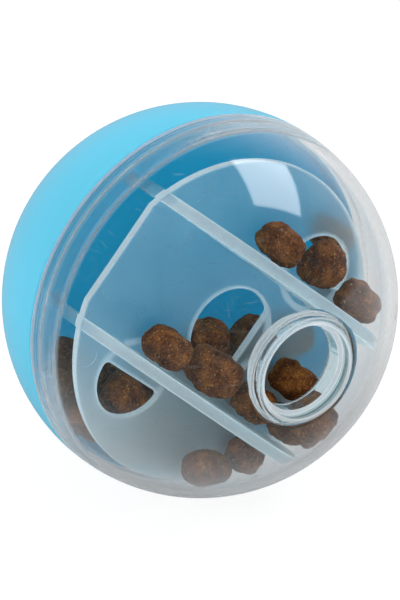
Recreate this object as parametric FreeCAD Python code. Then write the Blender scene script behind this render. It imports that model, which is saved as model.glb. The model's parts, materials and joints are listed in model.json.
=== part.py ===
import FreeCAD, Part
import math
import os

# Treat ball for cats: a blue half shell and a clear half shell with a round mouth, a loose maze insert
# between them, and the dry treats that it holds. Millimetres.
# The model is built on a local axis that runs up through the mouth, with its zero at the ball's centre.
# Each piece is laid over at the end, so that the mouth points to -Y and +Z is up.

# Ball and shells
ball_radius = 37.5
shell_wall = 1.8
seam_gap = 0.25
seam_round = 0.3

# Lip joint: a lip on the blue half sits in a socket in the clear half's rim
socket_wall = 1.4
socket_depth = 2.3
lip_clearance = 0.25
lip_wall = 1.1
lip_top_clearance = 0.3
lip_root = 1.2
lip_taper = 2.2
bead_height = 0.1
bead_width = 0.8
bead_groove_extra = 0.1
rim_bore_wall = 2.0
rim_bore_depth = 6.6

# Mouth and its inner neck
mouth_radius = 9.3
mouth_round = 0.5
mouth_ledge_depth = 3.6
throat_radius = 8.4
throat_length = 3.6
neck_wall = 1.4
neck_foot_flare = 0.4
neck_foot_round = 1.2
neck_end_round = 0.4

# Maze insert: a pierced disc with two upright walls and four short legs. Shares are of the ball's radius
disc_play = 2.3
disc_thickness = 1.4
disc_back_height = 6.9
disc_flat_cut = 1.7
wall_spacing_share = 0.669
wall_thickness = 2.2
wall_offset = 0.65
leg_width = 5.0
side_hole_share = 0.2
side_hole_along_share = 0.31
side_hole_across_share = 0.477
side_hole_flat_share = 0.469
middle_hole_radius = 8.8
middle_hole_flat = 5.0
middle_hole_along = 2.0
hole_corner_round = 1.0
hole_edge_round = 0.3
ejector_radius = 2.0
ejector_depth = 0.15
ejector_along = 23.6
ejector_from_wall = 3.5

# How the insert lies: turned about the mouth axis, and sunk to the low side of its play, in degrees
maze_turn = -42.1
sink_angle = 36.9

# Treats: flat round pillows of dry food, some of them larger
treat_width = 10.2
treat_thickness = 7.4
treat_round = 2.8
large_treat = 1.2
small_treat = 0.8
seat_gap = 0.3
treat_gap = 0.3

# Gaps and lifts of the treats in front of the disc
middle_first_gap = 0.6
middle_spread = 2.7
third_treat_lift = 0.8
shell_treat_turn = 19.0
shell_treat_lift = 9.6
upper_spread = 2.4
upper_end_lift = 2.0
lower_lift = 3.2
lower_gap = 0.9

# Heap behind the disc, ring by ring to the back: treats on each side of the low leg, and in rows further in
rear_disc_gap = 0.4
rear_ring_gap = 0.8
rear_leg_gap = 0.8
rear_left_counts = (4, 4, 3)
rear_right_counts = (1, 1, 0)
rear_inner_counts = ((5, 3, 1), (3,), ())
rear_row_angle = 4.0

# Sizes that follow from the ones above
inner_radius = ball_radius - shell_wall
socket_radius = ball_radius - socket_wall
rim_bore_radius = ball_radius - rim_bore_wall
lip_outer = socket_radius - lip_clearance
lip_inner = lip_outer - lip_wall
lip_top = socket_depth - lip_top_clearance
mouth_ledge_height = ball_radius - mouth_ledge_depth
neck_end_height = mouth_ledge_height - throat_length
neck_end_radius = throat_radius + neck_wall
neck_foot_radius = neck_end_radius + neck_foot_flare
disc_front_height = disc_back_height + disc_thickness
disc_radius = math.sqrt(inner_radius ** 2 - disc_front_height ** 2) - disc_play
disc_flat = disc_radius - disc_flat_cut
wall_inner = ball_radius * wall_spacing_share / 2
wall_outer = wall_inner + wall_thickness
side_hole_radius = ball_radius * side_hole_share
side_hole_along = ball_radius * side_hole_along_share
side_hole_across = ball_radius * side_hole_across_share
side_hole_flat = ball_radius * side_hole_flat_share
maze_arc_radius = math.hypot(disc_radius, disc_front_height)
maze_shift = disc_play - seat_gap
maze_shift_along = maze_shift * math.cos(math.radians(sink_angle))
maze_shift_down = maze_shift * math.sin(math.radians(sink_angle))
walls_down = wall_offset + maze_shift_down
leg_end_height = -math.sqrt((inner_radius - seat_gap) ** 2 - (disc_radius + maze_shift) ** 2)
rear_first_height = disc_back_height - rear_disc_gap - treat_width / 2
treat_pitch = treat_width + treat_gap
level_pitch = treat_thickness + treat_gap
lowest_turn = 90.0 + maze_turn
cut_margin = 1.0
tolerance = 0.001


def height_on(radius, distance):
    """Height of the point of a sphere that lies this far from the mouth axis."""
    return math.sqrt(radius ** 2 - distance ** 2)


def line_path(points):
    """Straight edges through (distance from the axis, height) points."""
    corners = [FreeCAD.Vector(distance, 0, height) for distance, height in points]
    return [Part.LineSegment(a, b).toShape() for a, b in zip(corners, corners[1:])]


def sphere_arc(radius, start_height, end_height):
    """Arc of a sphere about the ball's centre, on the positive side of the axis."""
    start_angle = math.asin(start_height / radius)
    end_angle = math.asin(end_height / radius)
    points = []
    for angle in (start_angle, (start_angle + end_angle) / 2, end_angle):
        points.append(FreeCAD.Vector(radius * math.cos(angle), 0, radius * math.sin(angle)))
    return [Part.Arc(*points).toShape()]


def turned_solid(edges):
    """Solid of revolution about the mouth axis."""
    face = Part.Face(Part.Wire(Part.__sortEdges__(edges)))
    solid = face.revolve(FreeCAD.Vector(0, 0, 0), FreeCAD.Vector(0, 0, 1), 360)
    return Part.Solid(solid.Shells[0]) if solid.ShapeType != "Solid" else solid


def ring_edges(solid, radius, low, high):
    """Whole circles of one radius about the mouth axis, between two heights."""
    circles = [edge for edge in solid.Edges
               if not edge.Degenerated and isinstance(edge.Curve, Part.Circle)]
    return [edge for edge in circles
            if abs(edge.Curve.Radius - radius) < tolerance
            and low - tolerance <= edge.Curve.Center.z <= high + tolerance]


def bead_path(radius, height, size):
    """A shallow ridge or groove on a round face, as profile points from low to high."""
    half = bead_width / 2
    return [(radius, height - half), (radius + size, height - half / 3),
            (radius + size, height + half / 3), (radius, height + half)]


def make_clear_half():
    mouth_height = height_on(ball_radius, mouth_radius)
    foot_height = height_on(inner_radius, neck_foot_radius)
    bead_middle = socket_depth / 2
    edges = sphere_arc(ball_radius, 0.0, mouth_height)
    edges += line_path([(mouth_radius, mouth_height), (mouth_radius, mouth_ledge_height),
                        (throat_radius, mouth_ledge_height), (throat_radius, neck_end_height),
                        (neck_end_radius, neck_end_height), (neck_foot_radius, foot_height)])
    edges += sphere_arc(inner_radius, foot_height, rim_bore_depth)
    groove = bead_path(socket_radius, bead_middle, bead_height + bead_groove_extra)
    edges += line_path([(height_on(inner_radius, rim_bore_depth), rim_bore_depth),
                        (rim_bore_radius, rim_bore_depth), (rim_bore_radius, socket_depth),
                        (socket_radius, socket_depth)] + groove[::-1]
                       + [(socket_radius, 0.0), (ball_radius, 0.0)])
    solid = turned_solid(edges)
    solid = solid.makeFillet(mouth_round, ring_edges(solid, mouth_radius, mouth_height, ball_radius))
    solid = solid.makeFillet(neck_foot_round, ring_edges(solid, neck_foot_radius, foot_height, foot_height))
    neck_rims = ring_edges(solid, throat_radius, neck_end_height, neck_end_height)
    neck_rims += ring_edges(solid, neck_end_radius, neck_end_height, neck_end_height)
    solid = solid.makeFillet(neck_end_round, neck_rims)
    return solid.makeFillet(seam_round, ring_edges(solid, ball_radius, 0.0, 0.0))


def make_blue_half():
    rim_radius = height_on(ball_radius, seam_gap)
    taper_height = -(lip_root + lip_taper)
    edges = sphere_arc(ball_radius, -ball_radius, -seam_gap)
    edges += line_path([(rim_radius, -seam_gap), (lip_outer, -seam_gap)]
                       + bead_path(lip_outer, socket_depth / 2, bead_height)
                       + [(lip_outer, lip_top), (lip_inner, lip_top), (lip_inner, -lip_root),
                          (height_on(inner_radius, taper_height), taper_height)])
    edges += sphere_arc(inner_radius, taper_height, -inner_radius)
    edges += line_path([(0.0, -inner_radius), (0.0, -ball_radius)])
    solid = turned_solid(edges)
    return solid.makeFillet(seam_round, ring_edges(solid, rim_radius, -seam_gap, -seam_gap))


def upright_box(low_x, high_x, low_y, high_y, low_z, high_z):
    corner = FreeCAD.Vector(low_x, low_y, low_z)
    return Part.makeBox(high_x - low_x, high_y - low_y, high_z - low_z, corner)


def flatted_hole(radius, along, across, low_x, high_x, low_y, high_y):
    """Cutter for a round hole that ends at straight sides, with its upright corners rounded."""
    through = disc_thickness + 2 * cut_margin
    base = disc_back_height - cut_margin
    cutter = Part.makeCylinder(radius, through, FreeCAD.Vector(along, across, base))
    cutter = cutter.common(upright_box(low_x, high_x, low_y, high_y, base, base + through))
    corners = []
    for edge in cutter.Edges:
        end = edge.Vertexes[0]
        from_flat = min(abs(end.X - low_x), abs(end.X - high_x), abs(end.Y - low_y), abs(end.Y - high_y))
        if isinstance(edge.Curve, Part.Line) and edge.Length > disc_thickness and from_flat < tolerance:
            if abs(edge.Vertexes[-1].Z - end.Z) > disc_thickness:
                corners.append(edge)
    return cutter.makeFillet(hole_corner_round, corners)


def maze_holes():
    far = 2 * ball_radius
    upper = flatted_hole(side_hole_radius, side_hole_along, side_hole_across, -far, far, side_hole_flat, far)
    lower = upper.copy()
    lower.rotate(FreeCAD.Vector(0, 0, 0), FreeCAD.Vector(0, 0, 1), 180)
    flat = middle_hole_along + middle_hole_flat
    middle = flatted_hole(middle_hole_radius, middle_hole_along, -wall_offset, -far, flat, -far, far)
    return [upper, lower, middle]


def maze_wall(side):
    """One upright wall with its two legs; side is +1 for the upper wall and -1 for the lower."""
    low_y, high_y = sorted((side * wall_inner - wall_offset, side * wall_outer - wall_offset))
    far_y = max(-low_y, high_y)
    far = 2 * ball_radius
    upright = upright_box(-far, far, low_y, high_y, disc_back_height, ball_radius)
    upright = upright.common(Part.makeSphere(maze_arc_radius))
    post = Part.makeCylinder(disc_radius, disc_front_height - leg_end_height,
                             FreeCAD.Vector(0, 0, leg_end_height))
    outer_x = math.sqrt(disc_radius ** 2 - far_y ** 2)
    for end in (-1, 1):
        low_x, high_x = sorted((end * (outer_x - leg_width), end * far))
        leg = upright_box(low_x, high_x, low_y, high_y, leg_end_height, disc_front_height)
        upright = upright.fuse(leg.common(post))
    return upright


def make_maze():
    disc = Part.makeCylinder(disc_radius, disc_thickness, FreeCAD.Vector(0, 0, disc_back_height))
    far = 2 * ball_radius
    disc = disc.common(upright_box(-disc_flat, far, -far, far, 0.0, ball_radius))
    for hole in maze_holes():
        disc = disc.cut(hole)
    rims = []
    for edge in disc.Edges:
        flat = edge.BoundBox.ZLength < tolerance
        in_hole = math.hypot(edge.CenterOfMass.x, edge.CenterOfMass.y) < disc_flat - tolerance
        on_rim = isinstance(edge.Curve, Part.Circle) and abs(edge.Curve.Radius - disc_radius) < tolerance
        if flat and in_hole and not on_rim:
            rims.append(edge)
    disc = disc.makeFillet(hole_edge_round, rims)
    ejector_across = wall_outer + ejector_from_wall
    for along in (-ejector_along, ejector_along):
        for across in (-ejector_across - wall_offset, ejector_across - wall_offset):
            top = FreeCAD.Vector(along, across, disc_front_height - ejector_depth)
            disc = disc.cut(Part.makeCylinder(ejector_radius, disc_thickness, top))
    maze = disc.fuse([maze_wall(1), maze_wall(-1)]).removeSplitter()
    maze.rotate(FreeCAD.Vector(0, 0, 0), FreeCAD.Vector(0, 0, 1), maze_turn)
    maze.translate(in_ball(maze_shift_along, maze_shift_down, 0.0))
    return maze.Solids[0]


def in_ball(along, down, height):
    """Point given along the maze walls, across them to the low side, and up towards the mouth."""
    turn = math.radians(maze_turn)
    x = along * math.cos(turn) + down * math.sin(turn)
    y = along * math.sin(turn) - down * math.cos(turn)
    return FreeCAD.Vector(x, y, height)


def make_treat(centre, normal, size=1.0):
    """One treat, lying with its flat sides square to the normal."""
    thickness = treat_thickness * size
    puck = Part.makeCylinder(treat_width * size / 2, thickness, FreeCAD.Vector(0, 0, -thickness / 2))
    circles = [edge for edge in puck.Edges if isinstance(edge.Curve, Part.Circle)]
    puck = puck.makeFillet(treat_round * size, circles)
    puck.Placement = FreeCAD.Placement(centre, FreeCAD.Rotation(FreeCAD.Vector(0, 0, 1), normal))
    return puck


def shell_reach(down, shell_radius, size=1.0):
    """How far from the line through the ball's centre a treat may lie at this depth, clear of a shell."""
    flat_reach = (treat_width / 2 - treat_round) * size
    corner_side = abs(down) + (treat_thickness / 2 - treat_round) * size
    corner_distance = shell_radius - seat_gap - treat_round * size
    return math.sqrt(corner_distance ** 2 - corner_side ** 2) - flat_reach


def treat_on_wall(along, face, height, size=1.0):
    """A treat that lies flat on a maze wall, or on a treat, whose face is at this depth."""
    down = face - seat_gap - treat_thickness * size / 2
    return make_treat(in_ball(along, down, height), in_ball(0, 1, 0), size)


def treat_on_edge(along, face, height):
    """A treat that stands on its edge on a maze wall, with its flat sides across the wall."""
    down = face - seat_gap - treat_width / 2
    return make_treat(in_ball(along, down, height), in_ball(1, 0, 0))


def make_middle_treats():
    """Six treats on the lower wall: four in a row from the shell, one against the shell, one on top."""
    face = wall_inner + walls_down
    bottom = disc_front_height + seat_gap + treat_width / 2
    large_bottom = disc_front_height + seat_gap + treat_width * large_treat / 2
    reach = shell_reach(face - seat_gap - treat_thickness / 2, inner_radius)
    first_along = math.sqrt(reach ** 2 - bottom ** 2)
    uneven_pitch = (treat_width + treat_width * large_treat) / 2 + treat_gap
    second_along = first_along - treat_pitch - middle_first_gap
    third_along = second_along - uneven_pitch - middle_spread
    top_face = face - seat_gap - treat_thickness
    on_shell = inner_radius - seat_gap - treat_thickness / 2
    return [treat_on_wall(first_along, face, bottom),
            treat_on_wall(second_along, face, bottom),
            treat_on_wall(third_along, face, large_bottom + third_treat_lift, large_treat),
            treat_on_wall(third_along - uneven_pitch, face, bottom),
            treat_on_shell(math.radians(shell_treat_turn), bottom + shell_treat_lift, on_shell),
            treat_on_wall((first_along + second_along) / 2, top_face, bottom)]


def make_upper_treats():
    """Three treats in a row on the upper wall, from the shell; the one between stands on its edge."""
    face = walls_down - wall_outer
    reach = shell_reach(face - seat_gap - treat_thickness / 2, inner_radius)
    bottom = disc_front_height + seat_gap + treat_width / 2
    end_height = bottom + upper_end_lift
    end_along = math.sqrt(reach ** 2 - end_height ** 2)
    edge_pitch = (treat_width + treat_thickness) / 2 + treat_gap
    next_along = end_along - edge_pitch - upper_spread
    return [treat_on_wall(end_along, face, end_height),
            treat_on_edge(next_along, face, bottom + upper_end_lift / 2),
            treat_on_wall(next_along - edge_pitch - upper_spread, face, bottom)]


def treat_on_shell(turn, height, distance):
    """A treat at this distance from the ball's centre, lying flat to the shell."""
    from_axis = math.sqrt(distance ** 2 - height ** 2)
    centre = in_ball(from_axis * math.cos(turn), from_axis * math.sin(turn), height)
    return make_treat(centre, centre)


def make_lower_treats():
    """A small treat against the foot of the lower wall, and one on the clear shell beside it."""
    down = wall_outer + walls_down + seat_gap + treat_thickness * small_treat / 2
    height = disc_front_height + seat_gap + treat_width * small_treat / 2
    reach = shell_reach(down, inner_radius, small_treat)
    along = math.sqrt(reach ** 2 - height ** 2)
    distance = inner_radius - seat_gap - treat_thickness / 2
    from_axis = math.sqrt(distance ** 2 - (height + lower_lift) ** 2)
    turn = math.atan2(down, along) + 2 * math.asin((treat_width + lower_gap) / 2 / from_axis)
    return [make_treat(in_ball(along, down, height), in_ball(0, 1, 0), small_treat),
            treat_on_shell(turn, height + lower_lift, distance)]


def leg_turns():
    """Turns, from the along line, between which the low leg by the shell stands."""
    outer = math.atan2(wall_inner + walls_down, disc_radius + maze_shift_along)
    leg_start = math.sqrt(disc_radius ** 2 - (wall_outer + wall_offset) ** 2) - leg_width
    inner = math.atan2(wall_outer + walls_down, leg_start + maze_shift_along)
    return outer, inner


def ring_treat(turn, height, from_axis, tilt):
    centre = in_ball(from_axis * math.cos(turn), from_axis * math.sin(turn), height)
    return make_treat(centre, FreeCAD.Vector(centre.x, centre.y, centre.z * tilt))


def rear_rings():
    """Height, and distance from the ball's centre, of each ring of treats against the shell."""
    on_shell = inner_radius - seat_gap - treat_thickness / 2
    second_height = rear_first_height - treat_width - rear_ring_gap
    second_angle = math.asin(second_height / on_shell)
    step = 2 * math.asin((treat_pitch + rear_ring_gap) / 2 / on_shell)
    rings = [(rear_first_height, lip_inner - seat_gap - treat_thickness / 2)]
    for number in range(len(rear_left_counts) - 1):
        rings.append((on_shell * math.sin(second_angle - number * step), on_shell))
    return rings


def ring_step(from_axis):
    """Turn between two treats side by side in a ring, so that their inner corners keep the treat gap."""
    inner = from_axis - treat_thickness / 2 + treat_round
    flat_reach = treat_width / 2 - treat_round
    corner = treat_round + treat_gap / 2
    return 2 * (math.atan2(flat_reach, inner) + math.asin(corner / math.hypot(inner, flat_reach)))


def make_corner_treats():
    """Two treats behind the disc, one on the other, where the upper wall's leg meets the shell."""
    treats = []
    face = walls_down - wall_outer
    for level in range(2):
        reach = shell_reach(face - seat_gap - treat_thickness / 2, lip_inner)
        treats.append(treat_on_wall(reach, face, rear_first_height))
        face -= level_pitch
    return treats


def make_rear_treats():
    """The heap behind the maze disc: rings against the shell, each with shorter rows inside it."""
    treats = make_corner_treats()
    leg_low, leg_high = leg_turns()
    for ring, (height, distance) in enumerate(rear_rings()):
        tilt = 0.0 if ring == 0 else 1.0
        from_axis = math.sqrt(distance ** 2 - (height * tilt) ** 2)
        step = ring_step(from_axis)
        first = (treat_width / 2 + rear_leg_gap) / from_axis
        turns = [leg_high + first + step * number for number in range(rear_left_counts[ring])]
        turns += [leg_low - first - step * number for number in range(rear_right_counts[ring])]
        treats += [ring_treat(turn, height, from_axis, tilt) for turn in turns]
        for level, count in enumerate(rear_inner_counts[ring], start=1):
            inner_distance = distance - level * level_pitch
            from_axis = math.sqrt(inner_distance ** 2 - (height * tilt) ** 2)
            step = ring_step(from_axis)
            middle = math.radians(lowest_turn - rear_row_angle)
            turns = [middle + step * (number - (count - 1) / 2) for number in range(count)]
            treats += [ring_treat(turn, height, from_axis, tilt) for turn in turns]
    return treats


def lay_over(shape):
    """Turn a piece so that the mouth axis points to -Y."""
    laid = shape.copy()
    laid.rotate(FreeCAD.Vector(0, 0, 0), FreeCAD.Vector(1, 0, 0), 90)
    return laid


def main():
    nodes = {"clear_half": make_clear_half(), "blue_half": make_blue_half(), "maze": make_maze()}
    groups = (("treat_middle", make_middle_treats()), ("treat_upper", make_upper_treats()),
              ("treat_lower", make_lower_treats()), ("treat_rear", make_rear_treats()))
    for name, treats in groups:
        for number, treat in enumerate(treats, start=1):
            nodes["%s_%02d" % (name, number)] = treat
    os.makedirs("parts", exist_ok=True)
    for name, shape in nodes.items():
        lay_over(shape).exportStep("parts/%s.step" % name)
    print(len(nodes), "nodes")


main()
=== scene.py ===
import json
import math
import random

import bmesh
import bpy
import numpy as np
from mathutils import Matrix, Vector, noise

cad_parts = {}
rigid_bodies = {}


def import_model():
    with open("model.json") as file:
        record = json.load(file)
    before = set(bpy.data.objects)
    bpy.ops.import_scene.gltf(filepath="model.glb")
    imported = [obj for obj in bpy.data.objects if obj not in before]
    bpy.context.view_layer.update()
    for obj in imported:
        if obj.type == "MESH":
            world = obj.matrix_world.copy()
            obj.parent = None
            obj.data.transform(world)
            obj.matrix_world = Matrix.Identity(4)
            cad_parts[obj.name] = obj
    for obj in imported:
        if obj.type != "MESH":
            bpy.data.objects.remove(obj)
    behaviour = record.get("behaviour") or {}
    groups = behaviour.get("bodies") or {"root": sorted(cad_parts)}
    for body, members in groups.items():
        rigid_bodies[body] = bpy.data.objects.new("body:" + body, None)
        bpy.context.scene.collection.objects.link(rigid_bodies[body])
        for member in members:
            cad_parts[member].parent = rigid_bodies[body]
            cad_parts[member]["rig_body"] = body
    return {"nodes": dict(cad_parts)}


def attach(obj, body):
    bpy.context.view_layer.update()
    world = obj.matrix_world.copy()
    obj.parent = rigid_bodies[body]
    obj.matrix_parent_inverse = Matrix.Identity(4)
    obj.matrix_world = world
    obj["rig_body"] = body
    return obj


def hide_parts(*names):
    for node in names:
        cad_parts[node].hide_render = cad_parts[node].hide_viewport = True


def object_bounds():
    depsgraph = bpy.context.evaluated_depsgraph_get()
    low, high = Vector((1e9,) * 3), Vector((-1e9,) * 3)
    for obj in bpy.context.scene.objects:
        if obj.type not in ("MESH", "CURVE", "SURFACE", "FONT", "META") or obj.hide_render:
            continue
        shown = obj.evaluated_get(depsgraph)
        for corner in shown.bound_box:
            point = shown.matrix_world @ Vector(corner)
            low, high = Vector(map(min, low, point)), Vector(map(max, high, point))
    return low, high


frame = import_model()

# Looks of a treat ball for cats: blue half shell, clear half shell with a mouth, frosted maze insert, treats.
# Metres, in the part's own frame: the ball's centre is at zero and the mouth points to -Y.

MM = 0.001
cad_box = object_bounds()

# Camera, as the photograph was taken
CAMERA_AZIMUTH = -33.0
CAMERA_ELEVATION = 26.0
CAMERA_DISTANCE = 0.75
BALL_RADIUS_PX = 198.3
IMAGE_HEIGHT_PX = 600
SENSOR_MM = 36.0

ball_radius = cad_box[1].x

# The clear half's own measures, in millimetres: its mouth, its neck, the steps in its rim and its low side
MOUTH_RADIUS = 9.3
LEDGE_HEIGHT = 33.9
NECK_END = 30.3
NECK_RADIUS = 9.8
LIP_HEIGHT = 35.6
INNER_FACE = (36.4, 36.9)
RIM_STEPS = ((1.7, 2.8), (5.9, 6.9))
RIM_TOP = (6.8, 7.6)
LOW_SIDE = (10.0, 30.0)

# The maze insert's own measures, in millimetres and degrees: how it lies, its disc, walls and holes.
# A hole is where its centre lies along and down the disc, its radius, and where its flat side lies.
MAZE_TURN = -42.1
MAZE_SHIFT = (1.6, 1.2)
DISC_BACK = 6.9
DISC_FRONT = 8.3
DISC_RADIUS = 32.4
DISC_FLAT = 30.7
WALL_REACH = 33.45
WALLS_DOWN = 0.65
WALL_FACES = (12.54, 14.74)
MIDDLE_HOLE = (2.0, 0.65, 8.8, 7.0)
SIDE_HOLE = (11.6, 17.9, 7.5, 17.6)

# The blue half's own measures, in millimetres: where its outer face and its lip begin
OUTER_FACE = (36.6, 37.1)
BLUE_LIP_HEIGHT = (-2.5, -0.5)
BLUE_LIP_RADIUS = (34.3, 34.9)

# Clear plastic: tints, and the share of haze and the roughness of its places; the white haze on one side of
# the neck, on the seam and on the mouth's lip is painted glint
PLASTIC_IOR = 1.49
CLEAR_TINT = (0.97, 0.985, 0.99, 1)
MOUTH_TINT = (0.50, 0.84, 0.88, 1)
CLEAR_HAZE = (0.84, 0.88, 0.90, 1)
CLEAR_SHADOW = (0.95, 0.96, 0.97, 1)
LIMB_HAZE = 0.40
PAINTED_NECK_GLINT = 0.85
PAINTED_SEAM_GLINT = 0.7
LEDGE_HAZE = 0.8
PAINTED_LIP_GLINT = 0.6
STEP_HAZE = 0.16
LOW_HAZE = 0.085
PLAIN_HAZE = 0.004
MARK_HAZE = 0.10
NECK_SIDE_ROUGHNESS = 0.22
BORE_ROUGHNESS = 0.08
RIM_ROUGHNESS = 0.16
PLAIN_ROUGHNESS = 0.02
TURNING_RELIEF = 0.0002
SCRATCH_KINDS = (((0.25, 0.25, 4.0), (0.4, 0.9, 0.3)), ((3.5, 0.3, 0.3), (0.2, 0.5, 1.0)),
                 ((2.5, 2.5, 2.5), (0.0, 0.0, 0.0)))

# Frosted plastic: tints, and the share of milk of its places
FROSTED_TINT = (0.93, 0.985, 0.99, 1)
FROSTED_SHADOW = (0.82, 0.92, 0.95, 1)
BLUE_MILK = (0.50, 0.82, 0.92, 1)
WHITE_MILK = (0.84, 0.94, 0.96, 1)
FROSTED_ROUGHNESS = 0.30
EDGE_MILK = 0.70
TOP_MILK = 0.42
CORNER_MILK = 0.75
PLAIN_MILK = 0.12
CLOUD_MILK = 0.10
LOW_MILK = 0.26

# Blue plastic: paler outside as painted sheen, deeper inside as painted shade
BLUE_INSIDE_PAINTED_SHADE = (0.004, 0.60, 0.80, 1)
BLUE_LIP = (0.003, 0.30, 0.46, 1)
BLUE_OUTSIDE_PAINTED_SHEEN = (0.16, 0.69, 0.86, 1)
BLUE_THROUGH = (0.02, 0.66, 0.88, 1)
BLUE_THROUGH_SHARE = 0.42

# Treats: colours from dark to light, grains, and lumps as size, relief (both in millimetres) and seed
CRUMB_COLORS = ((0.36, (0.022, 0.006, 0.002, 1)), (0.46, (0.088, 0.026, 0.006, 1)),
                (0.54, (0.180, 0.060, 0.013, 1)), (0.66, (0.40, 0.155, 0.034, 1)))
GRAIN_COLOR = (0.80, 0.46, 0.12, 1)
CRUMB_RELIEF = 0.0005
CRUMB_LUMPS = ((3.2, 0.55, 0), (1.3, 0.28, 50), (0.55, 0.14, 90))
CRUMB_SINK = 0.35
REAR_DETAIL = 4
FRONT_DETAIL = 5

# Brightness of the floor and the world: to the camera, straight through plastic, in reflections and as light
FLOOR_HALF_SIDE = 3.0
FLOOR_DROP = 0.0002
FLOOR_SEEN = 1.06
FLOOR_SEEN_SHARE = 0.85
FLOOR_THROUGH = 0.76
FLOOR_AHEAD = 0.16
FLOOR_BEHIND_MORE = 0.60
WORLD_LIGHT = 0.80
WORLD_THROUGH = 0.84
WORLD_BEHIND = 0.85
WORLD_AHEAD = 0.06
WHITE = (1, 1, 1, 1)

# Lamps: name, place as (right, up, towards the viewer), distance, width, height, watts, shows in reflections
LAMPS = (("window", (0.514, 0.847, 0.126), 0.6, 0.36, 0.30, 2.6, True),
         ("fill", (-0.85, 0.25, 0.5), 0.9, 0.5, 0.5, 4.2, False),
         ("low_fill", (0.45, -0.15, 0.9), 0.9, 0.4, 0.4, 1.2, False))
LAMP_EDGE = 0.10


def direction(azimuth, elevation):
    """Unit vector from the ball towards a viewer; azimuth 0 is in front of the mouth."""
    a, e = math.radians(azimuth), math.radians(elevation)
    return Vector((math.sin(a) * math.cos(e), -math.cos(a) * math.cos(e), math.sin(e)))


def make_camera():
    away = math.sqrt((CAMERA_DISTANCE / ball_radius) ** 2 - 1)
    data = bpy.data.cameras.new("camera")
    data.sensor_width = SENSOR_MM
    data.lens = BALL_RADIUS_PX * away * SENSOR_MM / IMAGE_HEIGHT_PX
    camera = bpy.data.objects.new("camera", data)
    towards = direction(CAMERA_AZIMUTH, CAMERA_ELEVATION)
    camera.location = towards * CAMERA_DISTANCE
    camera.rotation_mode = "QUATERNION"
    camera.rotation_quaternion = (-towards).to_track_quat("-Z", "Y")
    bpy.context.scene.collection.objects.link(camera)
    bpy.context.scene.camera = camera


def view_axes():
    """Right, up and towards the viewer, as unit vectors of the part's frame."""
    towards = direction(CAMERA_AZIMUTH, CAMERA_ELEVATION)
    right = Vector((0, 0, 1)).cross(towards).normalized()
    return right, towards.cross(right), towards


# Node trees

def new_material(name):
    material = bpy.data.materials.new(name)
    material.use_nodes = True
    material.node_tree.nodes.clear()
    return material, material.node_tree


def add(tree, kind, settings=None, **values):
    """A new node, with settings as attributes and values for its inputs; sockets are linked."""
    node = tree.nodes.new(kind)
    for key, value in (settings or {}).items():
        setattr(node, key, value)
    for key, value in values.items():
        by_number = key[0] == "i" and key[1:].isdigit()
        socket = node.inputs[int(key[1:]) if by_number else key.replace("_", " ")]
        if isinstance(value, bpy.types.NodeSocket):
            tree.links.new(value, socket)
        else:
            socket.default_value = value
    return node


def calc(tree, operation, first, second=0.0):
    return add(tree, "ShaderNodeMath", {"operation": operation}, i0=first, i1=second).outputs[0]


def times(tree, first, second):
    return calc(tree, "MULTIPLY", first, second)


def highest(tree, *values):
    top = values[0]
    for value in values[1:]:
        top = calc(tree, "MAXIMUM", top, value)
    return top


def rise(tree, value, low, high, top=1.0):
    """From 0 below low to top above high, smoothly."""
    return add(tree, "ShaderNodeMapRange", {"interpolation_type": "SMOOTHSTEP"},
               Value=value, From_Min=low, From_Max=high, To_Max=top).outputs[0]


def fall(tree, value, low, high, top=1.0):
    """From top below low to 0 above high, smoothly."""
    return add(tree, "ShaderNodeMapRange", {"interpolation_type": "SMOOTHSTEP"},
               Value=value, From_Min=low, From_Max=high, To_Min=top, To_Max=0.0).outputs[0]


def within(tree, value, low, high, soft):
    """From 0 to 1 between low and high, with edges this soft."""
    return times(tree, rise(tree, value, low - soft, low), fall(tree, value, high, high + soft))


def blend(tree, share, first, second):
    """Colour that goes from the first to the second as the share goes from 0 to 1."""
    return add(tree, "ShaderNodeMix", {"data_type": "RGBA"}, i0=share, i6=first, i7=second).outputs[2]


def vector_calc(tree, operation, first, second):
    node = add(tree, "ShaderNodeVectorMath", {"operation": operation}, i0=first, i1=second)
    return node.outputs["Value" if operation in ("LENGTH", "DOT_PRODUCT") else "Vector"]


def length_of(tree, first, second):
    return calc(tree, "SQRT", calc(tree, "ADD", times(tree, first, first), times(tree, second, second)))


def disc_axis(degrees):
    """Unit vector in the plane of the seam, turned from X towards Z."""
    return math.cos(math.radians(degrees)), 0, math.sin(math.radians(degrees))


def place_in_mm(tree):
    place = add(tree, "ShaderNodeTexCoord")
    return vector_calc(tree, "MULTIPLY", place.outputs["Object"], (1000.0, 1000.0, 1000.0))


def mouth_place(tree, vector):
    """Height towards the mouth, distance from the mouth axis, and distance from the ball's centre."""
    height = vector_calc(tree, "DOT_PRODUCT", vector, (0, -1, 0))
    flat = vector_calc(tree, "MULTIPLY", vector, (1, 0, 1))
    from_axis = vector_calc(tree, "LENGTH", flat, (0, 0, 0))
    return height, from_axis, vector_calc(tree, "LENGTH", vector, (0, 0, 0))


def finish_material(tree, shader):
    out = tree.nodes.new("ShaderNodeOutputMaterial")
    tree.links.new(shader, out.inputs["Surface"])


def lamps_pass(tree, shader, tint):
    """Lets shadow and diffuse rays go straight through clear plastic, so that what is inside is lit."""
    path = add(tree, "ShaderNodeLightPath")
    either = calc(tree, "MAXIMUM", path.outputs["Is Shadow Ray"], path.outputs["Is Diffuse Ray"])
    open_way = add(tree, "ShaderNodeBsdfTransparent", Color=tint)
    return add(tree, "ShaderNodeMixShader", i0=either, i1=shader, i2=open_way.outputs[0]).outputs[0]


def milky(tree, glass, share, color):
    """Glass with a share of white haze, which glows from light on either side."""
    front = add(tree, "ShaderNodeBsdfDiffuse", Color=color)
    through = add(tree, "ShaderNodeBsdfTranslucent", Color=color)
    haze = add(tree, "ShaderNodeMixShader", i0=0.5, i1=front.outputs[0], i2=through.outputs[0])
    return add(tree, "ShaderNodeMixShader", i0=share, i1=glass, i2=haze.outputs[0]).outputs[0]


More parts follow.
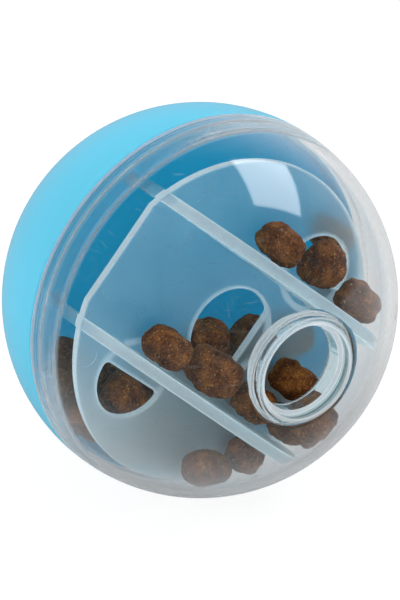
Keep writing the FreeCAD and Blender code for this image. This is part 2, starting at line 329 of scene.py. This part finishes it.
def scratches(tree, vector, stretch, turn):
    """Thin light marks: noise that is drawn out along one direction."""
    turned = add(tree, "ShaderNodeMapping", Vector=vector, Rotation=turn, Scale=stretch)
    marks = add(tree, "ShaderNodeTexNoise", Vector=turned.outputs[0], Scale=1.0, Detail=1.0)
    return rise(tree, marks.outputs[0], 0.70, 0.76, MARK_HAZE)


def make_clear_plastic():
    """Clear, with a scratched neck that has a painted silvery reflection on one side, a white step in the
    mouth, a white seam and lip that are painted glints, and some haze at the low side.
    """
    material, tree = new_material("clear_plastic")
    vector = place_in_mm(tree)
    height, from_axis, from_centre = mouth_place(tree, vector)
    inside = fall(tree, from_centre, *INNER_FACE)
    neck = times(tree, rise(tree, height, NECK_END - 0.4, NECK_END),
                 fall(tree, from_axis, NECK_RADIUS + 0.6, NECK_RADIUS + 1.6))
    neck_outside = times(tree, neck, rise(tree, from_axis, NECK_RADIUS - 0.5, NECK_RADIUS - 0.2))
    bore = times(tree, rise(tree, height, LEDGE_HEIGHT + 0.1, LEDGE_HEIGHT + 0.3),
                 fall(tree, from_axis, MOUTH_RADIUS + 0.1, MOUTH_RADIUS + 0.4))
    ledge = times(tree, within(tree, height, LEDGE_HEIGHT - 0.15, LEDGE_HEIGHT + 0.1, 0.1),
                  fall(tree, from_axis, MOUTH_RADIUS, MOUTH_RADIUS + 0.3))
    # Painted glint: white haze on the rounded lip of the mouth
    lip = times(tree, rise(tree, height, LIP_HEIGHT, LIP_HEIGHT + 0.3),
                fall(tree, from_axis, MOUTH_RADIUS + 0.5, MOUTH_RADIUS + 0.8))
    steps = times(tree, highest(tree, *[within(tree, height, *step, 0.5) for step in RIM_STEPS]), inside)
    rim = times(tree, fall(tree, height, *RIM_TOP), inside)
    # Painted glint: white haze along the rim's edge at the seam
    seam = fall(tree, height, 0.15, 0.45, PAINTED_SEAM_GLINT)
    facing = add(tree, "ShaderNodeLayerWeight", Blend=0.5).outputs["Facing"]
    limb = calc(tree, "POWER", facing, 5.0)
    marks = highest(tree, *[scratches(tree, vector, *kind) for kind in SCRATCH_KINDS])

    # The side of the neck that is scratched by turning, in rings, and whitened there in streaks as a painted
    # silvery reflection
    rings = add(tree, "ShaderNodeTexNoise", {"noise_dimensions": "1D"}, W=height, Scale=9.0, Detail=2.0)
    to_side = vector_calc(tree, "DOT_PRODUCT", vector, disc_axis(MAZE_TURN + 180))
    turned_marks_and_painted_glint = times(tree, neck_outside, rise(tree, to_side, -4.0, 5.0))
    painted_glint_streaks = times(tree, turned_marks_and_painted_glint, rise(tree, rings.outputs[0], 0.25, 0.75, PAINTED_NECK_GLINT))
    bump = add(tree, "ShaderNodeBump", Height=rings.outputs[0], Distance=TURNING_RELIEF,
               Strength=times(tree, turned_marks_and_painted_glint, 0.6))

    share = highest(tree, times(tree, limb, LIMB_HAZE), painted_glint_streaks, marks, seam, times(tree, ledge, LEDGE_HAZE),
                    times(tree, lip, PAINTED_LIP_GLINT), times(tree, steps, STEP_HAZE))
    to_low_side = vector_calc(tree, "DOT_PRODUCT", vector, disc_axis(MAZE_TURN - 66))
    low_haze = rise(tree, to_low_side, *LOW_SIDE, LOW_HAZE)
    share = calc(tree, "ADD", calc(tree, "ADD", share, PLAIN_HAZE), low_haze)
    rough = highest(tree, times(tree, turned_marks_and_painted_glint, NECK_SIDE_ROUGHNESS), times(tree, bore, BORE_ROUGHNESS),
                    times(tree, rim, RIM_ROUGHNESS))
    rough = calc(tree, "ADD", rough, PLAIN_ROUGHNESS)
    color = blend(tree, highest(tree, bore, times(tree, neck, 0.4)), CLEAR_TINT, MOUTH_TINT)
    glass = add(tree, "ShaderNodeBsdfPrincipled", Base_Color=color, Roughness=rough,
                IOR=PLASTIC_IOR, Transmission_Weight=1.0, Normal=bump.outputs[0])
    hazed = milky(tree, glass.outputs[0], share, CLEAR_HAZE)
    finish_material(tree, lamps_pass(tree, hazed, CLEAR_SHADOW))
    return material


def hole_edge(tree, from_centre, radius, side, flat):
    """The edge of a round hole with one flat side; flat is where that begins and ends."""
    round_edge = within(tree, from_centre, radius - 0.5, radius + 0.4, 0.3)
    near = fall(tree, from_centre, radius + 0.5, radius + 0.8)
    return highest(tree, round_edge, times(tree, near, within(tree, side, *flat, 0.3)))


def make_frosted_plastic():
    """Cloudy plastic, whiter at the disc's and the holes' edges, the tops of the walls and the low side."""
    material, tree = new_material("frosted_plastic")
    vector = place_in_mm(tree)
    along = vector_calc(tree, "DOT_PRODUCT", vector, disc_axis(MAZE_TURN))
    down = vector_calc(tree, "DOT_PRODUCT", vector, disc_axis(MAZE_TURN - 90))
    along = calc(tree, "SUBTRACT", along, MAZE_SHIFT[0])
    down = calc(tree, "SUBTRACT", down, MAZE_SHIFT[1])
    height = vector_calc(tree, "DOT_PRODUCT", vector, (0, -1, 0))
    from_middle = length_of(tree, along, down)
    in_disc = within(tree, height, DISC_BACK, DISC_FRONT, 0.1)

    # Edges of the disc, of its middle hole, and of its two side holes, which are half a turn apart
    hole_along, hole_down, hole_radius, hole_flat = MIDDLE_HOLE
    from_hole = length_of(tree, calc(tree, "SUBTRACT", along, hole_along),
                          calc(tree, "SUBTRACT", down, hole_down))
    middle_edge = hole_edge(tree, from_hole, hole_radius, along, (hole_flat - 0.3, hole_flat + 0.4))
    hole_along, hole_down, hole_radius, hole_flat = SIDE_HOLE
    flipped = times(tree, along, calc(tree, "SIGN", down))
    beside = calc(tree, "ABSOLUTE", down)
    from_hole = length_of(tree, calc(tree, "ADD", flipped, hole_along),
                          calc(tree, "SUBTRACT", beside, hole_down))
    side_edge = hole_edge(tree, from_hole, hole_radius, beside, (hole_flat - 0.4, hole_flat + 0.3))
    edges = highest(tree, rise(tree, from_middle, DISC_RADIUS - 0.5, DISC_RADIUS - 0.1),
                    fall(tree, along, 0.1 - DISC_FLAT, 0.5 - DISC_FLAT), middle_edge, side_edge)
    edges = times(tree, edges, in_disc)

    # Tops of the walls, and their two corners
    reach = length_of(tree, from_middle, height)
    above = rise(tree, height, DISC_FRONT, DISC_FRONT + 0.3)
    tops = times(tree, rise(tree, reach, WALL_REACH - 0.5, WALL_REACH - 0.1), above)
    from_walls = calc(tree, "ABSOLUTE", calc(tree, "SUBTRACT", down, WALLS_DOWN))
    corners = highest(tree, fall(tree, from_walls, WALL_FACES[0] + 0.15, WALL_FACES[0] + 0.45),
                      rise(tree, from_walls, WALL_FACES[1] - 0.45, WALL_FACES[1] - 0.15))
    corners = times(tree, corners, tops)

    clouds = add(tree, "ShaderNodeTexNoise", Vector=vector, Scale=0.09, Detail=3.0)
    haze = calc(tree, "ADD", rise(tree, clouds.outputs[0], 0.25, 0.75, CLOUD_MILK), PLAIN_MILK)
    low_side = times(tree, rise(tree, down, 6.0, 26.0), in_disc)
    haze = calc(tree, "ADD", haze, times(tree, low_side, LOW_MILK))
    share = highest(tree, times(tree, edges, EDGE_MILK), times(tree, tops, TOP_MILK),
                    times(tree, corners, CORNER_MILK), haze)
    glass = add(tree, "ShaderNodeBsdfPrincipled", Base_Color=FROSTED_TINT, Roughness=FROSTED_ROUGHNESS,
                IOR=PLASTIC_IOR, Transmission_Weight=1.0)
    whiter = highest(tree, edges, tops, times(tree, low_side, 0.7))
    hazed = milky(tree, glass.outputs[0], share, blend(tree, whiter, BLUE_MILK, WHITE_MILK))
    finish_material(tree, lamps_pass(tree, hazed, FROSTED_SHADOW))
    return material


def make_blue_plastic():
    """Light blue on the outside as painted sheen, deeper inside as painted shade, and deepest on the lip that
    shows through the clear rim.
    """
    material, tree = new_material("blue_plastic")
    height, _, from_centre = mouth_place(tree, place_in_mm(tree))
    # The outer face gets a paler colour as painted sheen, the inner face a deeper one as painted shade
    outside = rise(tree, from_centre, *OUTER_FACE)
    lip = times(tree, rise(tree, height, *BLUE_LIP_HEIGHT), rise(tree, from_centre, *BLUE_LIP_RADIUS))
    color = blend(tree, outside, blend(tree, lip, BLUE_INSIDE_PAINTED_SHADE, BLUE_LIP), BLUE_OUTSIDE_PAINTED_SHEEN)
    body = add(tree, "ShaderNodeBsdfPrincipled", Base_Color=color, Roughness=0.24, IOR=1.45,
               Specular_IOR_Level=0.35)
    through = add(tree, "ShaderNodeBsdfTranslucent", Color=BLUE_THROUGH)
    mix = add(tree, "ShaderNodeMixShader", i0=BLUE_THROUGH_SHARE, i1=body.outputs[0], i2=through.outputs[0])
    finish_material(tree, mix.outputs[0])
    return material


def color_ramp(tree, value, stops):
    """Colour of a value from stops of position and colour, lowest first."""
    ramp = add(tree, "ShaderNodeValToRGB", Fac=value)
    for element, stop in zip(ramp.color_ramp.elements, (stops[0], stops[-1])):
        element.position, element.color = stop
    for position, color in stops[1:-1]:
        ramp.color_ramp.elements.new(position).color = color
    return ramp.outputs["Color"]


def make_treat_crumb():
    """Dark reddish brown crumb with pale golden grains."""
    material, tree = new_material("treat_crumb")
    vector = place_in_mm(tree)
    patches = add(tree, "ShaderNodeTexNoise", Vector=vector, Scale=0.35, Detail=3.0)
    grain = add(tree, "ShaderNodeTexNoise", Vector=vector, Scale=2.4, Detail=4.0, Roughness=0.75)
    tone = calc(tree, "ADD", times(tree, patches.outputs[0], 0.45), times(tree, grain.outputs[0], 0.55))
    specks = add(tree, "ShaderNodeTexVoronoi", Vector=vector, Scale=1.7)
    bright = times(tree, fall(tree, specks.outputs["Distance"], 0.16, 0.34),
                   rise(tree, grain.outputs[0], 0.50, 0.60, 0.8))
    color = blend(tree, bright, color_ramp(tree, tone, CRUMB_COLORS), GRAIN_COLOR)
    relief = calc(tree, "ADD", grain.outputs[0], times(tree, bright, 0.3))
    bump = add(tree, "ShaderNodeBump", Height=relief, Strength=1.0, Distance=CRUMB_RELIEF)
    crumb = add(tree, "ShaderNodeBsdfPrincipled", Base_Color=color, Roughness=0.65,
                Specular_IOR_Level=0.1, Normal=bump.outputs[0])
    finish_material(tree, crumb.outputs[0])
    return material


# Treats

def treat_frame(node):
    """Centre, half sizes and axes of a treat, thinnest last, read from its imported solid."""
    points = np.array([v.co for v in node.data.vertices], float)
    middle = points.mean(0)
    axes = np.linalg.eigh(np.cov((points - middle).T))[1]
    along = (points - middle) @ axes
    low, high = along.min(0), along.max(0)
    middle = middle + axes @ ((low + high) / 2)
    half = (high - low) / 2
    thin = int(np.argmin(half))
    order = [i for i in range(3) if i != thin] + [thin]
    matrix = axes[:, order]
    if np.linalg.det(matrix) < 0:
        matrix[:, 0] *= -1
    return Vector(middle), half[order], Matrix(matrix.tolist())


def lumps(point, seed, size, amount):
    """Smooth noise in metres of relief, for one size of lump."""
    shifted = Vector(point) / size + Vector((seed * 7.3, seed * 3.1, seed * 5.7))
    return noise.noise(shifted) * amount


def make_treat(name, number, detail):
    node = frame["nodes"][name]
    middle, half, turn = treat_frame(node)
    rng = random.Random(number)
    mesh = bmesh.new()
    bmesh.ops.create_icosphere(mesh, subdivisions=detail, radius=1.0)
    power = rng.uniform(2.5, 3.0)
    squeeze = rng.uniform(0.93, 1.0)
    taper = rng.uniform(-0.12, 0.12)
    start = rng.uniform(0, 2 * math.pi)
    for vertex in mesh.verts:
        d = vertex.co.copy()
        d.x *= 1 / squeeze
        around = math.hypot(d.x, d.y)
        reach = ((around / half[0]) ** power + (abs(d.z) / half[2]) ** power) ** (-1 / power)
        angle = math.atan2(d.y, d.x)
        reach *= 1 - 0.03 * (1 + math.cos(3 * angle + start)) - taper * d.z * around
        point = d * reach
        relief = sum(lumps(point, number + seed, size * MM, amount * MM)
                     for size, amount, seed in CRUMB_LUMPS)
        vertex.co = point * (1 + (relief - CRUMB_SINK * MM) / point.length)
    for face in mesh.faces:
        face.smooth = True
    data = bpy.data.meshes.new(name + "_crumb")
    mesh.to_mesh(data)
    mesh.free()
    data.transform(Matrix.Translation(middle) @ turn.to_4x4())
    piece = bpy.data.objects.new(name + "_crumb", data)
    bpy.context.scene.collection.objects.link(piece)
    return piece


def make_treats():
    crumb = make_treat_crumb()
    names = sorted(n for n in frame["nodes"] if n.startswith("treat_"))
    for number, name in enumerate(names):
        piece = make_treat(name, number, REAR_DETAIL if "rear" in name else FRONT_DETAIL)
        piece.data.materials.append(crumb)
        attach(piece, frame["nodes"][name]["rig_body"])
        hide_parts(name)


def dress_node(name, material):
    node = frame["nodes"][name]
    node.data.materials.clear()
    node.data.materials.append(material)
    for polygon in node.data.polygons:
        polygon.material_index = 0


# Floor, world and lamps

def make_floor():
    """White to the camera, with a shadow; in reflections bright behind the ball and dark in front of it."""
    mesh = bmesh.new()
    bmesh.ops.create_grid(mesh, x_segments=1, y_segments=1, size=FLOOR_HALF_SIDE)
    data = bpy.data.meshes.new("floor")
    mesh.to_mesh(data)
    mesh.free()
    floor = bpy.data.objects.new("floor", data)
    floor.location.z = cad_box[0].z - FLOOR_DROP
    bpy.context.scene.collection.objects.link(floor)
    material, tree = new_material("pale_floor")
    path = add(tree, "ShaderNodeLightPath")
    kinds = ("Camera", "Transmission", "Glossy")
    seen, through, mirrored = (path.outputs[f"Is {kind} Ray"] for kind in kinds)
    plain = add(tree, "ShaderNodeBsdfDiffuse", Color=(0.85, 0.85, 0.85, 1))
    share = highest(tree, times(tree, seen, FLOOR_SEEN_SHARE), through, mirrored)
    place = add(tree, "ShaderNodeTexCoord")
    towards = view_axes()[2]
    ahead = vector_calc(tree, "DOT_PRODUCT", place.outputs["Object"], (towards.x, towards.y, 0))
    behind = calc(tree, "ADD", fall(tree, ahead, -0.06, 0.06, FLOOR_BEHIND_MORE), FLOOR_AHEAD)
    straight = calc(tree, "SUBTRACT", through, path.outputs["Glossy Depth"])
    grey = highest(tree, times(tree, seen, FLOOR_SEEN), times(tree, straight, FLOOR_THROUGH),
                   times(tree, highest(tree, through, mirrored), behind))
    shine = add(tree, "ShaderNodeEmission", Color=WHITE, Strength=grey)
    mix = add(tree, "ShaderNodeMixShader", i0=share, i1=plain.outputs[0], i2=shine.outputs[0])
    finish_material(tree, mix.outputs[0])
    data.materials.append(material)


def make_world():
    """White to the camera, light grey straight through the plastic, and in reflections dark in front."""
    world = bpy.data.worlds.new("studio")
    world.use_nodes = True
    tree = world.node_tree
    tree.nodes.clear()
    path = add(tree, "ShaderNodeLightPath")
    place = add(tree, "ShaderNodeTexCoord")
    ahead = vector_calc(tree, "DOT_PRODUCT", place.outputs["Generated"], tuple(view_axes()[2]))
    mirrored = add(tree, "ShaderNodeMapRange", {"interpolation_type": "SMOOTHSTEP"}, Value=ahead,
                   From_Min=-0.7, From_Max=0.1, To_Min=WORLD_BEHIND, To_Max=WORLD_AHEAD).outputs[0]
    turned_back = calc(tree, "MINIMUM", path.outputs["Glossy Depth"], 1.0)
    through = add(tree, "ShaderNodeMix", {"data_type": "FLOAT"}, i0=turned_back, i2=WORLD_THROUGH,
                  i3=mirrored).outputs[0]
    shader = add(tree, "ShaderNodeBackground", Color=(0.97, 0.99, 1.0, 1), Strength=WORLD_LIGHT)
    for kind, strength in (("Glossy", mirrored), ("Transmission", through), ("Camera", 1.0)):
        other = add(tree, "ShaderNodeBackground", Color=WHITE, Strength=strength)
        shader = add(tree, "ShaderNodeMixShader", i0=path.outputs[f"Is {kind} Ray"], i1=shader.outputs[0],
                     i2=other.outputs[0])
    out = tree.nodes.new("ShaderNodeOutputWorld")
    tree.links.new(shader.outputs[0], out.inputs["Surface"])
    bpy.context.scene.world = world


def soften(data):
    """Fades a lamp's light towards its four edges."""
    data.use_nodes = True
    tree = data.node_tree
    tree.nodes.clear()
    place = add(tree, "ShaderNodeNewGeometry")
    split = add(tree, "ShaderNodeSeparateXYZ", Vector=place.outputs["Parametric"])
    across, up = (within(tree, split.outputs[i], LAMP_EDGE, 1 - LAMP_EDGE, LAMP_EDGE) for i in (0, 1))
    shine = add(tree, "ShaderNodeEmission", Color=WHITE, Strength=times(tree, across, up))
    out = tree.nodes.new("ShaderNodeOutputLight")
    tree.links.new(shine.outputs[0], out.inputs["Surface"])


def make_lamp(name, towards, distance, width, height, power, mirrored):
    data = bpy.data.lights.new(name, "AREA")
    data.shape = "RECTANGLE"
    data.size = width
    data.size_y = height
    data.energy = power
    if mirrored:
        soften(data)
    lamp = bpy.data.objects.new(name, data)
    lamp.location = towards.normalized() * distance
    lamp.rotation_mode = "QUATERNION"
    lamp.rotation_quaternion = (-towards).to_track_quat("-Z", "Y")
    lamp.visible_camera = False
    lamp.visible_transmission = False
    lamp.visible_glossy = mirrored
    bpy.context.scene.collection.objects.link(lamp)


def make_lamps():
    axes = view_axes()
    for name, place, *rest in LAMPS:
        towards = sum((part * axis for part, axis in zip(place, axes)), Vector())
        make_lamp(name, towards, *rest)


make_camera()
make_world()
make_floor()
make_lamps()
dress_node("clear_half", make_clear_plastic())
dress_node("blue_half", make_blue_plastic())
dress_node("maze", make_frosted_plastic())
make_treats()
bpy.context.scene.view_settings.view_transform = "Standard"
